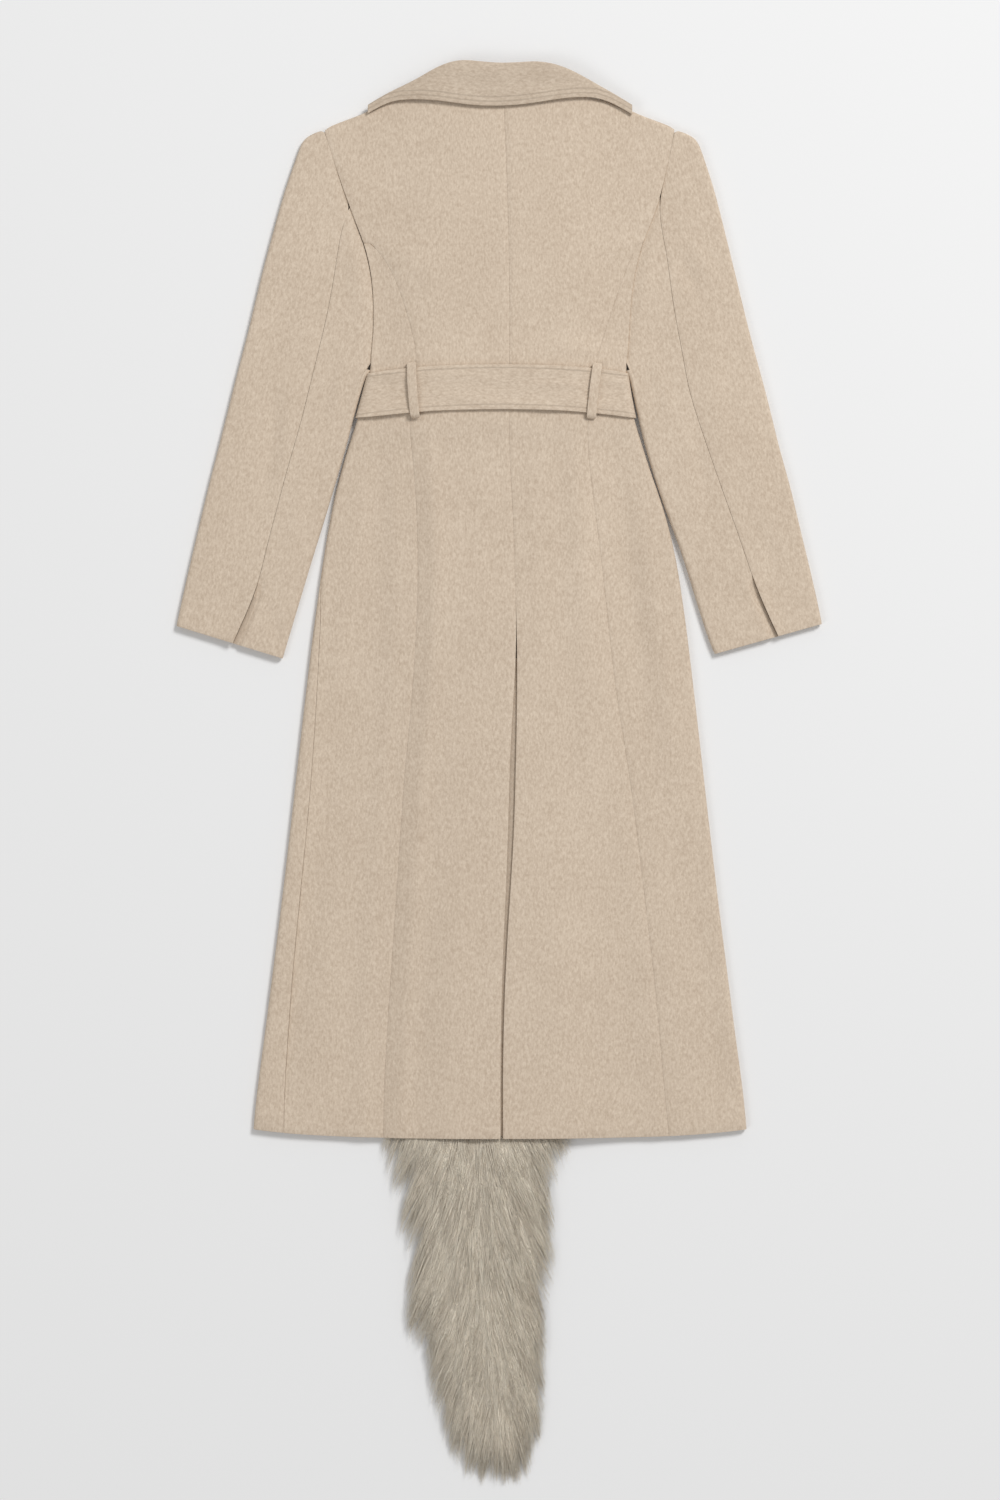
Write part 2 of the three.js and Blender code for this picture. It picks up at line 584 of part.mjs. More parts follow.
// Belt: one flat ring round the coat
const BELT_FLAT = [-140, -120, -100, -83, -66, 0, 66, 83, 100, 120, 140];
const BELT_ROUND = [1, 0.6, 0.2, -0.2, -0.6, -1];
const beltRing = [
  ...BELT_FLAT.map((x) => ({ x, layer: 1 })),
  ...BELT_ROUND.map((part) => ({ side: 1, turn: part * QUARTER })),
  ...BELT_FLAT.toReversed().map((x) => ({ x, layer: -1 })),
  ...BELT_ROUND.toReversed().map((part) => ({ side: -1, turn: part * QUARTER })),
];
const BELT_ROWS = 2;
coat.add(
  wall("belt", wool, beltRing.length, BELT_ROWS, (i, j, face) => {
    const { x, layer, side, turn } = beltRing[i];
    const out = LAYER + (1 - face) * WALL;
    const drop = BELT_HALF * ((2 * j) / BELT_ROWS - 1);
    if (side) return aroundBody(side, beltLine(BELT_SIDE) + drop, turn, out);
    const y = beltLine(x) + drop;
    return [x, y, layer > 0 ? top(x, y) + out : under(x, y) - out];
  }, true),
);

// Belt loops, from the cloth below the belt over it to the cloth above
const LOOPS = [
  { side: -1, foot: -98, head: -102.5 },
  { side: 1, foot: 106.5, head: 114 },
];
const LOOP_STEPS = [-1, -0.94, -0.87, -0.5, 0, 0.5, 0.87, 0.94, 1];
for (const { side, foot, head } of LOOPS)
  coat.add(
    wall("belt_loop_" + name(side), wool, 1, LOOP_STEPS.length - 1, (i, j, face) => {
      const step = LOOP_STEPS[j];
      const x = mix(foot, head, (step + 1) / 2) + (i - 0.5) * LOOP_WIDTH;
      const y = beltLine(x) + LOOP_HALF * step;
      const climb = clamp(((1 - Math.abs(step)) * LOOP_HALF) / LOOP_RISE);
      return [x, y, top(x, y) + LAYER + LIFT * climb + (1 - face) * LOOP_WALL];
    }),
  );

// Collar: the fall lies on the back, turns over the roll line and goes down as the stand
const ROLL = (WALL + LAYER + WALL) / 2;
const COLLAR_STEPS = 24;
const FALL_ROWS = 3;
const ROLL_ROWS = 4;
const STAND_ROWS = 3;
const COLLAR_ENDS = COLLAR[COLLAR.length - 1].x;
coat.add(
  wall("collar", wool, COLLAR_STEPS, FALL_ROWS + ROLL_ROWS + STAND_ROWS - 1, (i, j, face) => {
    const x = mix(-COLLAR_ENDS, COLLAR_ENDS, i / COLLAR_STEPS);
    const fall = along(COLLAR, "x", "fall", x);
    const roll = along(COLLAR, "x", "roll", x);
    const seam = Math.min(shoulder(x) + 2 * SEAM, roll - ROLL - 1);
    const level = top(x, NECK_TOP);
    const layerTop = level + LIFT;
    if (j <= FALL_ROWS) {
      const y = mix(fall, roll - ROLL, j / FALL_ROWS);
      return [x, y, layerTop - face * WALL];
    }
    if (j >= FALL_ROWS + ROLL_ROWS) {
      const y = mix(roll - ROLL, seam, (j - FALL_ROWS - ROLL_ROWS + 1) / STAND_ROWS);
      return [x, y, level - (1 - face) * WALL];
    }
    const angle = (Math.PI / 2) * (1 - (2 * (j - FALL_ROWS)) / ROLL_ROWS);
    const radius = ROLL - face * WALL;
    const middle = level + LAYER / 2;
    return [x, roll - ROLL + radius * Math.cos(angle), middle + radius * Math.sin(angle)];
  }),
);

// Fur stole: a pressed run under the fronts and the loose end below the hem, parted down its middle
const FUR_COLUMNS = 14;
const FUR_RUN = [FUR_TOP, 1000, 800, 600, 400, 200, 60, 1];
const furRows = [
  ...FUR_RUN.map((y) => ({ y, hidden: true })),
  ...FUR.map((row) => ({ ...row, hidden: false })),
];
const LOCKS = 6; // on either side of the parting
const LOCK_DEPTH = 0.05;
const PARTING = { depth: 0.22, width: 0.16 };
const FUR_ROUND = 0.94;
const FUR_EDGE = 1.5;
coat.add(
  wall("fur_stole", fur, FUR_COLUMNS, furRows.length - 1, (i, j, face) => {
    const { y, left, right, crown, hidden } = furRows[j];
    const part = i / FUR_COLUMNS;
    if (hidden) {
      return [mix(-FUR_RUN_HALF, FUR_RUN_HALF, part), y, face ? 0 : FUR_FLAT - SEAM];
    }
    const x = mix(left, right, part);
    const off = Math.abs(2 * part - 1);
    const dome = Math.sqrt(1 - FUR_ROUND * off * off);
    const parting = 1 - PARTING.depth * Math.exp(-((off / PARTING.width) ** 2));
    const lock = 1 + LOCK_DEPTH * Math.cos(2 * Math.PI * LOCKS * off);
    return [x, y, face ? 0 : Math.max(FUR_EDGE, FUR_LOFT * crown * dome * parting * lock)];
  }),
);

// The frame: the middle of the garment's box, on the floor
coat.position.set(-ORIGIN.x, -ORIGIN.y, 0);

export default coat;
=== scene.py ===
# A belted wool coat laid face down with its back up, with a long fur stole reaching past its hem.
import math

import bpy
import numpy as np
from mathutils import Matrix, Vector
from mathutils.bvhtree import BVHTree


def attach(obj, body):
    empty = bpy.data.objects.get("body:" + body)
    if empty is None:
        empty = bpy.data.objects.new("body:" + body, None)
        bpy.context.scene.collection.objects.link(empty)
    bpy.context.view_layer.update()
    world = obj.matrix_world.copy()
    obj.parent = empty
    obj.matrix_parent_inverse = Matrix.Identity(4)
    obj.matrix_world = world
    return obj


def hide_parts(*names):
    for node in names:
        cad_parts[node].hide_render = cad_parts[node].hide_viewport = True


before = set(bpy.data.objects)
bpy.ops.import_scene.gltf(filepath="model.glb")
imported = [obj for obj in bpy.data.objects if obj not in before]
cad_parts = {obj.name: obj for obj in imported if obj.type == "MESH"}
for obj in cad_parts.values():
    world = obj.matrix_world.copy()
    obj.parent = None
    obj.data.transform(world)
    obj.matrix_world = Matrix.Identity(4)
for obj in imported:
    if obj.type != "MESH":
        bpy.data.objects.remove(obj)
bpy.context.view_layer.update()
bpy.ops.object.select_all(action="DESELECT")

# The camera looks straight down on the laid coat. The whole height of the picture is 1.755 m of
# floor, and the coat's box has its middle a little below the picture's.
CAMERA_HEIGHT = 4.0
CAMERA_MIDDLE_Y = 0.0257
PICTURE_HEIGHT = 1.755
LONG_SIDE = 36.0
bpy.ops.object.camera_add(location=(0.0, CAMERA_MIDDLE_Y, CAMERA_HEIGHT), rotation=(0.0, 0.0, 0.0))
camera = bpy.context.object
camera.name = "camera_above"
bpy.context.scene.view_settings.view_transform = "Standard"
camera.data.lens = LONG_SIDE * CAMERA_HEIGHT / PICTURE_HEIGHT
bpy.context.scene.camera = camera

# Soft studio light: one large box to the upper right, a weaker one to the left, and an even sky.
SKY_STRENGTH = 0.425


def soft_box(name, place, size, power):
    bpy.ops.object.light_add(type="AREA", location=place)
    light = bpy.context.object
    light.name = name
    light.data.shape = "DISK"
    light.data.size = size
    light.data.energy = power
    light.rotation_euler = (-Vector(place)).to_track_quat("-Z", "Y").to_euler()


soft_box("soft_box_upper_right", (3.4, 4.0, 5.4), 2.4, 345.0)
soft_box("soft_box_left", (-4.2, -2.6, 4.6), 3.0, 64.0)
sky = bpy.data.worlds.new("even_sky")
sky.use_nodes = True
sky.node_tree.nodes["Background"].inputs["Color"].default_value = (1.0, 1.0, 1.0, 1.0)
sky.node_tree.nodes["Background"].inputs["Strength"].default_value = SKY_STRENGTH
bpy.context.scene.world = sky

# The floor is a plain pale sheet of studio paper, just under the lowest nap of the cloth.
PAPER_SIZE = 14.0
PAPER_TOP = -0.0002
PAPER_TONE = 0.86
bpy.ops.mesh.primitive_plane_add(size=PAPER_SIZE, location=(0.0, 0.0, PAPER_TOP))
floor = bpy.context.object
floor.name = "studio_floor"
paper = bpy.data.materials.new("studio_paper")
paper.use_nodes = True
paper_shader = paper.node_tree.nodes["Principled BSDF"]
paper_shader.inputs["Base Color"].default_value = (PAPER_TONE, PAPER_TONE, PAPER_TONE, 1.0)
paper_shader.inputs["Roughness"].default_value = 1.0
paper_shader.inputs["Specular IOR Level"].default_value = 0.0
floor.data.materials.append(paper)

# Wool: the coat's double-faced coating is a brushed melange of beige and near-white fibres, with
# the nap laid down along each piece. The group gives its colour and the height of its pile.
HEM_Y = -0.4271  # the hem line's place in the frame, where garment heights start
FIBRE_SHARE = 1.5  # how much the single fibres count beside the mottle
CLOUD_SHARE = 0.35  # how much the broad uneven tone counts
MELANGE_FROM, MELANGE_TO = 1.05, 1.8  # sums of the noises at the deep and at the pale wool


def node_in(tree, kind, **sockets):
    node = tree.nodes.new(kind)
    for socket, value in sockets.items():
        node.inputs[socket.replace("_", " ")].default_value = value
    return node


def make_nap_group():
    group = bpy.data.node_groups.new("brushed_nap", "ShaderNodeTree")
    face = group.interface
    face.new_socket("Vector", in_out="INPUT", socket_type="NodeSocketVector")
    for name in ("Pale", "Deep"):
        face.new_socket(name, in_out="INPUT", socket_type="NodeSocketColor")
    face.new_socket("Color", in_out="OUTPUT", socket_type="NodeSocketColor")
    face.new_socket("Height", in_out="OUTPUT", socket_type="NodeSocketFloat")
    link = group.links.new
    given = group.nodes.new("NodeGroupInput")
    out = group.nodes.new("NodeGroupOutput")
    along = node_in(group, "ShaderNodeMapping", Scale=(1.0, 0.5, 1.0))
    link(given.outputs["Vector"], along.inputs["Vector"])
    fibres = node_in(group, "ShaderNodeTexNoise", Scale=480.0, Detail=2.0, Roughness=0.65)
    mottle = node_in(group, "ShaderNodeTexNoise", Scale=310.0, Detail=3.0, Roughness=0.6)
    cloud = node_in(group, "ShaderNodeTexNoise", Scale=14.0, Detail=4.0, Roughness=0.6)
    for noise in (fibres, mottle):
        link(along.outputs["Vector"], noise.inputs["Vector"])
    link(given.outputs["Vector"], cloud.inputs["Vector"])
    sum_fine = node_in(group, "ShaderNodeMath")
    sum_fine.operation = "MULTIPLY_ADD"
    link(fibres.outputs["Fac"], sum_fine.inputs[0])
    sum_fine.inputs[1].default_value = FIBRE_SHARE
    link(mottle.outputs["Fac"], sum_fine.inputs[2])
    sum_all = node_in(group, "ShaderNodeMath")
    sum_all.operation = "MULTIPLY_ADD"
    link(cloud.outputs["Fac"], sum_all.inputs[0])
    sum_all.inputs[1].default_value = CLOUD_SHARE
    link(sum_fine.outputs[0], sum_all.inputs[2])
    spread = node_in(group, "ShaderNodeMapRange")
    spread.inputs["From Min"].default_value = MELANGE_FROM
    spread.inputs["From Max"].default_value = MELANGE_TO
    link(sum_all.outputs[0], spread.inputs["Value"])
    blend = group.nodes.new("ShaderNodeMix")
    blend.data_type = "RGBA"
    link(spread.outputs["Result"], blend.inputs["Factor"])
    link(given.outputs["Deep"], blend.inputs[6])
    link(given.outputs["Pale"], blend.inputs[7])
    link(blend.outputs[2], out.inputs["Color"])
    link(sum_fine.outputs[0], out.inputs["Height"])
    return group


nap_group = make_nap_group()
PALE_WOOL = (0.71, 0.592, 0.468, 1.0)
DEEP_WOOL = (0.535, 0.425, 0.322, 1.0)
LINE_HALF_WIDTH = 1.5  # millimetres from a sewn line to where its shade ends
LINE_CORE = 0.2  # millimetres on either side that are fully shaded
LINE_SHADE = 0.72  # painted shade of a sewn line's pressed groove, as a share of the deep wool
LINE_DIP = -8.0  # how far a line is pressed into the nap, for a full line
NO_LINE = 1000.0  # a distance that no edge has, where there is no second line


def make_topstitch_group():
    """Pressed lines of machine sewing at two distances from an edge, as a painted shade and a
    depth.
    """
    group = bpy.data.node_groups.new("topstitch", "ShaderNodeTree")
    face = group.interface
    for name in ("Distance", "First", "Second"):
        face.new_socket(name, in_out="INPUT", socket_type="NodeSocketFloat")
    face.new_socket("Line", in_out="OUTPUT", socket_type="NodeSocketFloat")
    given = group.nodes.new("NodeGroupInput")
    out = group.nodes.new("NodeGroupOutput")
    lines = []
    for name in ("First", "Second"):
        off = node_in(group, "ShaderNodeMath")
        off.operation = "SUBTRACT"
        group.links.new(given.outputs["Distance"], off.inputs[0])
        group.links.new(given.outputs[name], off.inputs[1])
        size = node_in(group, "ShaderNodeMath")
        size.operation = "ABSOLUTE"
        group.links.new(off.outputs[0], size.inputs[0])
        line = node_in(group, "ShaderNodeMapRange")
        line.interpolation_type = "SMOOTHSTEP"
        line.inputs["From Min"].default_value = LINE_HALF_WIDTH
        line.inputs["From Max"].default_value = LINE_CORE
        group.links.new(size.outputs[0], line.inputs["Value"])
        lines.append(line)
    both = node_in(group, "ShaderNodeMath")
    both.operation = "MAXIMUM"
    group.links.new(lines[0].outputs["Result"], both.inputs[0])
    group.links.new(lines[1].outputs["Result"], both.inputs[1])
    group.links.new(both.outputs[0], out.inputs["Line"])
    return group


sewn_line_shade_group = make_topstitch_group()


def shaded(colour, shade):
    return (*(channel * shade for channel in colour[:3]), 1.0)


def wool(name, turn=0.0, shade=1.0, sewn=None, line=0.38):
    """The coating, its nap turned by an angle, darkened by a painted shade if asked, with painted
    shade along sewn lines at distances from an edge.
    """
    material = bpy.data.materials.new(name)
    material.use_nodes = True
    tree = material.node_tree
    shader = tree.nodes["Principled BSDF"]
    shader.inputs["Roughness"].default_value = 0.93
    shader.inputs["Specular IOR Level"].default_value = 0.2
    shader.inputs["Sheen Weight"].default_value = 0.18
    shader.inputs["Sheen Roughness"].default_value = 0.55
    shader.inputs["Sheen Tint"].default_value = (0.95, 0.87, 0.78, 1.0)
    place = tree.nodes.new("ShaderNodeTexCoord")
    turned = node_in(tree, "ShaderNodeMapping", Rotation=(0.0, 0.0, turn))
    nap = tree.nodes.new("ShaderNodeGroup")
    nap.node_tree = nap_group
    nap.inputs["Pale"].default_value = shaded(PALE_WOOL, shade)
    nap.inputs["Deep"].default_value = shaded(DEEP_WOOL, shade)
    bump = node_in(tree, "ShaderNodeBump", Strength=0.3, Distance=0.0004)
    tree.links.new(place.outputs["Object"], turned.inputs["Vector"])
    tree.links.new(turned.outputs["Vector"], nap.inputs["Vector"])
    if sewn:
        edge = tree.nodes.new("ShaderNodeAttribute")
        edge.attribute_name = "from_edge"
        lines = tree.nodes.new("ShaderNodeGroup")
        lines.node_tree = sewn_line_shade_group
        lines.inputs["First"].default_value, lines.inputs["Second"].default_value = sewn
        tree.links.new(edge.outputs["Fac"], lines.inputs["Distance"])
        # Painted shade: the colour darkens towards the deep wool times LINE_SHADE along each sewn
        # line.
        tint = tree.nodes.new("ShaderNodeMix")
        tint.data_type = "RGBA"
        tint.inputs[7].default_value = shaded(DEEP_WOOL, shade * LINE_SHADE)
        part = node_in(tree, "ShaderNodeMath")
        part.operation = "MULTIPLY"
        part.inputs[1].default_value = line
        tree.links.new(lines.outputs["Line"], part.inputs[0])
        tree.links.new(part.outputs[0], tint.inputs["Factor"])
        tree.links.new(nap.outputs["Color"], tint.inputs[6])
        tree.links.new(tint.outputs[2], shader.inputs["Base Color"])
        depth = node_in(tree, "ShaderNodeMath")
        depth.operation = "MULTIPLY_ADD"
        depth.inputs[1].default_value = LINE_DIP * line
        tree.links.new(lines.outputs["Line"], depth.inputs[0])
        tree.links.new(nap.outputs["Height"], depth.inputs[2])
        tree.links.new(depth.outputs[0], bump.inputs["Height"])
    else:
        tree.links.new(nap.outputs["Color"], shader.inputs["Base Color"])
        tree.links.new(nap.outputs["Height"], bump.inputs["Height"])
    tree.links.new(bump.outputs["Normal"], shader.inputs["Normal"])
    return material


NAP_THICKNESS = 0.00017  # brushed pile that closes the air between two pieces along a seam
CUT_EDGE_ANGLE = math.radians(55)  # steeper edges of a panel are cut edges and stay crisp
ROUNDED_ANGLE = math.radians(50)


def cloth_from(node, material, levels=2, rounding=0.0006):
    """A panel of cloth in its solid's own form: its quads made finer, its cut edges rounded."""
    bpy.ops.object.select_all(action="DESELECT")
    piece = bpy.data.objects.new("cloth_" + node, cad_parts[node].data.copy())
    bpy.context.scene.collection.objects.link(piece)
    piece.select_set(True)
    bpy.context.view_layer.objects.active = piece
    piece.data.materials.clear()
    piece.data.materials.append(material)
    bpy.ops.object.mode_set(mode="EDIT")
    bpy.ops.mesh.select_all(action="SELECT")
    bpy.ops.mesh.remove_doubles(threshold=0.00001)
    bpy.ops.mesh.tris_convert_to_quads(
        face_threshold=math.radians(50), shape_threshold=math.radians(85)
    )
    bpy.ops.mesh.select_mode(type="EDGE")
    bpy.ops.mesh.select_all(action="DESELECT")
    bpy.ops.mesh.edges_select_sharp(sharpness=CUT_EDGE_ANGLE)
    bpy.ops.transform.edge_crease(value=1.0)
    bpy.ops.mesh.select_mode(type="VERT")
    bpy.ops.object.mode_set(mode="OBJECT")
    finer = piece.modifiers.new("finer", "SUBSURF")
    finer.levels = finer.render_levels = levels
    bpy.ops.object.modifier_apply(modifier=finer.name)
    pile = piece.modifiers.new("pile", "DISPLACE")
    pile.mid_level = 0.0
    pile.strength = NAP_THICKNESS
    bpy.ops.object.modifier_apply(modifier=pile.name)
    edge = piece.modifiers.new("rounded_edges", "BEVEL")
    edge.width = rounding
    edge.segments = 2
    edge.limit_method = "ANGLE"
    edge.angle_limit = ROUNDED_ANGLE
    edge.use_clamp_overlap = True
    bpy.ops.object.modifier_apply(modifier=edge.name)
    bpy.ops.object.shade_smooth()
    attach(piece, "root")
    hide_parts(node)
    return piece


def places(piece):
    """The vertices of a piece as an array of garment millimetres."""
    count = len(piece.data.vertices)
    flat = np.empty(count * 3)
    piece.data.vertices.foreach_get("co", flat)
    return flat.reshape(count, 3) * 1000.0 - np.array([0.0, HEM_Y * 1000.0, 0.0])


def set_places(piece, at):
    back = (at + np.array([0.0, HEM_Y * 1000.0, 0.0])) / 1000.0
    piece.data.vertices.foreach_set("co", back.ravel())
    piece.data.update()


def bell(off, width):
    """A soft bump: one where off is nothing, fading over a width."""
    return np.exp(-((off / width) ** 2))


def fade(values, start, run):
    """Nothing up to a start, and rising to one over a run."""
    return np.clip((values - start) / run, 0.0, 1.0)


def note_lines(piece, distances):
    """Keeps each point's distance from the nearest sewn edge, for the painted shade along sewn
    lines.
    """
    kept = piece.data.attributes.new("from_edge", "FLOAT", "POINT")
    kept.data.foreach_set("value", distances)


def soft_fold(at, start, end, width, height, bow=0.0):
    """The rise of one soft ridge, or trough where height is negative, that fades at both ends."""
    start, end = np.array(start, float), np.array(end, float)
    way = end - start
    length = np.hypot(*way)
    way /= length
    off = at[:, :2] - start
    t = off @ way / length
    side = off @ np.array([-way[1], way[0]]) - bow * 4 * t * (1 - t)
    ends = np.sin(np.pi * np.clip(t, 0.0, 1.0)) ** 0.8
    return height * ends * bell(side, width)


STOLE_HALF = 98.0  # within this of the middle the stole lies under the coat and holds it up
OVER_STOLE = -0.45  # the deepest trough there
UPPER_WALL = (3.5, 4.0)  # height and run of the change from the lower wall to the upper one


def settle(piece, folds, deepest=-2.4):
    """Raises and lowers a piece's cloth by the given folds that cross it."""
    at = places(piece)
    rise = sum(soft_fold(at, *fold) for fold in folds)
    lowest = np.where(np.abs(at[:, 0]) < STOLE_HALF, OVER_STOLE, deepest)
    at[:, 2] += np.maximum(rise, lowest) * fade(at[:, 2], *UPPER_WALL)
    set_places(piece, at)


# Back: four panels of coating joined by shaped seams and a centre back seam that opens into the
# vent. The cloth lies almost flat, with long soft folds running down from the belt.
wool_body = wool("wool_body")
BACK_FOLDS = [  # start, end, width, height, bow in garment millimetres
    ((-60, 846), (-72, 420), 18.0, 1.2, 4.0),
    ((-20, 840), (-34, 540), 20.0, 0.9, 3.0),
    ((44, 842), (58, 470), 19.0, 1.6, -4.0),
    ((86, 844), (122, 330), 15.0, 2.3, -6.0),
    ((124, 846), (170, 420), 16.0, -2.0, 5.0),
    ((148, 820), (214, 360), 16.0, 2.2, 5.0),
    ((-146, 828), (-196, 420), 16.0, 2.0, -6.0),
    ((-170, 700), (-236, 150), 20.0, -1.9, 5.0),
    ((-215, 330), (-262, 20), 17.0, -1.9, 2.0),
    ((222, 330), (262, 20), 17.0, -1.9, -2.0),
    ((-60, 330), (-66, -60), 28.0, 1.5, 4.0),
    ((70, 360), (86, -60), 28.0, 1.6, -5.0),
    ((170, 300), (206, 10), 24.0, 1.1, 4.0),
    ((-200, 240), (-216, 10), 22.0, 1.3, 0.0),
    ((-140, 906), (-96, 928), 6.0, 1.2, 2.0),
    ((-128, 918), (-60, 934), 7.0, -0.9, 2.0),
    ((60, 922), (128, 912), 7.0, 1.1, 2.0),
    ((80, 938), (140, 950), 9.0, -0.8, -3.0),
    ((-40, 912), (30, 910), 5.0, 0.7, 1.0),
    ((-150, 1040), (-70, 1000), 16.0, 1.2, 6.0),
    ((164, 1052), (86, 1004), 16.0, 1.2, -6.0),
    ((-178, 1140), (-120, 1020), 18.0, 0.9, 6.0),
    ((176, 1136), (128, 1024), 18.0, 0.9, -6.0),
    ((-100, 1190), (-60, 1120), 20.0, -0.7, 3.0),
    ((100, 1190), (64, 1120), 20.0, -0.7, -3.0),
    ((-120, 834), (-60, 838), 5.0, -1.2, 2.0),
    ((34, 838), (70, 834), 5.0, -1.2, 2.0),
]
PRINCESS_SEAM = np.array([  # height, and the seam's distance from the middle on either side
    [0, 136.5, 197.5], [75, 135, 190], [160, 129.3, 183.7], [250, 123.4, 172.5],
    [335, 117.6, 162.8], [425, 111.7, 151.4], [510, 103, 137], [610, 97, 125.5],
    [690, 95.8, 116.8], [775, 100, 105.5], [825, 105, 102.3], [875, 102, 107], [917, 98, 115.5],
    [945, 103.9, 124], [980, 114.1, 135.5], [1010, 125.5, 145.8], [1037, 144, 157.6],
    [1052, 163, 170.5],
], float)
ARMHOLE = np.array([  # height, and the armhole's distance from the middle on either side
    [890, 152.4, 147], [920, 149.7, 149.3], [955, 146.8, 151.2], [990, 148, 154],
    [1022, 152.7, 160], [1049, 160.9, 168.5], [1088, 176.1, 184.5], [1120, 187.8, 192.8],
    [1175, 206, 204.6],
], float)
CENTRE_SEAM = np.array([[592, 19.8], [628, 18.1], [716, 15.8], [804, 11.1], [995, 11.1],
                        [1096, 8.8], [1212, 4.5]], float)
BACK_CUTS = {  # width, length and area of the flat cut, in metres
    "back_centre_left": (0.223, 1.212, 0.159),
    "back_centre_right": (0.2, 1.212, 0.167),
    "back_side_left": (0.17, 1.044, 0.098),
    "back_side_right": (0.19, 1.042, 0.0896),
}
BELT_LINE = 842.0  # height of the belt's lower edge, where the skirt's ridges begin
SHAPED_SEAM_TOP = 1052.0
VENT_TOP = 592.0
UNDERARM = 900.0
NOT_SEWN = 400.0  # stands for a distance far from any seam
# The back panels carry a faint painted shade along the shaped seams, the armhole and the centre
# seam.
wool_back = wool("wool_back", sewn=(0.0, NO_LINE), line=0.07)
for node, cut in BACK_CUTS.items():
    panel = cloth_from(node, wool_back)
    settle(panel, BACK_FOLDS)
    at = places(panel)
    left = node.endswith("left")
    seam_x = np.interp(at[:, 1], PRINCESS_SEAM[:, 0], PRINCESS_SEAM[:, 1 if left else 2])
    seam_x = np.where(at[:, 1] > SHAPED_SEAM_TOP, 500.0, seam_x) * (-1 if left else 1)
    off_seam = at[:, 0] - seam_x
    inward, outward, ridge = (20.0, -24.0, 3.2) if left else (-15.0, 17.0, 1.2)
    ridges = ridge * bell(off_seam - inward, 12.0)
    ridges += 0.5 * ridge * bell(off_seam - outward, 13.0)
    skirt = fade(BELT_LINE - at[:, 1], 0.0, 90.0)
    at[:, 2] += ridges * skirt * fade(at[:, 2], *UPPER_WALL)
    set_places(panel, at)
    from_seam = np.abs(off_seam)
    armhole = np.interp(at[:, 1], ARMHOLE[:, 0], ARMHOLE[:, 1 if left else 2]) - np.abs(at[:, 0])
    beside_sleeve = np.where(at[:, 1] > UNDERARM, np.abs(armhole), NOT_SEWN)
    from_seam = np.minimum(from_seam, beside_sleeve)
    if node.startswith("back_centre"):
        centre = np.abs(at[:, 0] - np.interp(at[:, 1], CENTRE_SEAM[:, 0], CENTRE_SEAM[:, 1]))
        beside_centre = np.where(at[:, 1] > VENT_TOP, centre + 0.7, NOT_SEWN)
        from_seam = np.minimum(from_seam, beside_centre)
    note_lines(panel, from_seam)

# Vent underlay: a strip of the same coating that lies under the edges of the open vent. Its colour
# is darkened as a painted shade of the opening.
vent_wool_painted_shade = wool("wool_under_vent", shade=0.8)
underlay = cloth_from("vent_underlay", vent_wool_painted_shade)

# Fronts: two broad panels that lie on the floor and on the stole, the right one lapping over the
# left one. They carry the side folds of the coat.
FRONT_CUTS = {
    "front_left": (0.4, 1.21, 0.3485),
    "front_right": (0.37, 1.21, 0.323),
}
for node, cut in FRONT_CUTS.items():
    panel = cloth_from(node, wool_body, levels=1)

# Sleeves: each has a top and an under piece, sewn together down the back of the arm to a short
# cuff slit. They lie flat beside the body with a few slack creases.
SLEEVE_TILT = math.radians(9.5)
wool_sleeves = {
    "left": wool("wool_left_sleeve", SLEEVE_TILT, sewn=(0.0, NO_LINE), line=0.4),
    "right": wool("wool_right_sleeve", -SLEEVE_TILT, sewn=(0.0, NO_LINE), line=0.4),
}
SLEEVE_FOLDS = {
    "left": [
        ((-262, 880), (-276, 740), 9.0, -1.9, 3.0),
        ((-246, 900), (-262, 700), 13.0, 1.2, 4.0),
        ((-214, 850), (-250, 640), 11.0, 1.0, -4.0),
        ((-290, 900), (-330, 660), 14.0, 0.9, 5.0),
        ((-190, 1060), (-160, 960), 12.0, 1.3, 5.0),
        ((-214, 1110), (-178, 990), 14.0, -1.1, 6.0),
        ((-246, 1080), (-230, 900), 18.0, 1.0, 6.0),
        ((-170, 930), (-196, 830), 9.0, 1.1, -3.0),
        ((-276, 632), (-258, 574), 7.0, -0.9, 1.0),
        ((-330, 700), (-352, 622), 12.0, 0.9, 2.0),
    ],
    "right": [
        ((206, 1030), (232, 982), 8.0, -1.7, 2.0),
        ((222, 1052), (250, 1000), 9.0, 1.3, -2.0),
        ((190, 1060), (162, 960), 12.0, 1.2, -5.0),
        ((214, 1110), (180, 1000), 14.0, -1.0, -6.0),
        ((240, 960), (276, 760), 14.0, 1.1, -5.0),
        ((214, 900), (246, 700), 12.0, -1.2, 4.0),
        ((280, 900), (322, 690), 14.0, 1.0, -5.0),
        ((170, 930), (200, 830), 9.0, 1.0, 3.0),
        ((300, 720), (330, 630), 12.0, -0.9, 3.0),
    ],
}
TIP = {"left": (176.0, 1079.0), "right": (185.0, 1092.0)}  # where the back seam meets the armhole
CUFF_SLITS = {  # upper and lower end of the short open end of the back seam
    "left": ((-279.6, 650.0), (-312.5, 572.0)),
    "right": ((293.7, 657.0), (327.0, 578.0)),
}
SLEEVE_CUTS = {
    "topsleeve_left": (0.2, 0.66, 0.108),
    "undersleeve_left": (0.12, 0.56, 0.0403),
    "topsleeve_right": (0.19, 0.65, 0.1007),
    "undersleeve_right": (0.13, 0.56, 0.0462),
}
SLEEVE_WALL = (3.0, 4.0)  # height and run of the change from the lower wall to the upper one
SLEEVE_DEEPEST = -2.2
ARMHOLE_JOIN = 14.0  # width of the edge that is drawn in to the armhole
DRAWN_IN = (1.3, 7.0)  # how far it is drawn in, along the armhole and under the arm
ARMHOLE_SINK = 1.7
SLIT_DROP = 2.6  # how far the underlap of the cuff slit lies under the other edge
SLIT_LIFT = 1.9
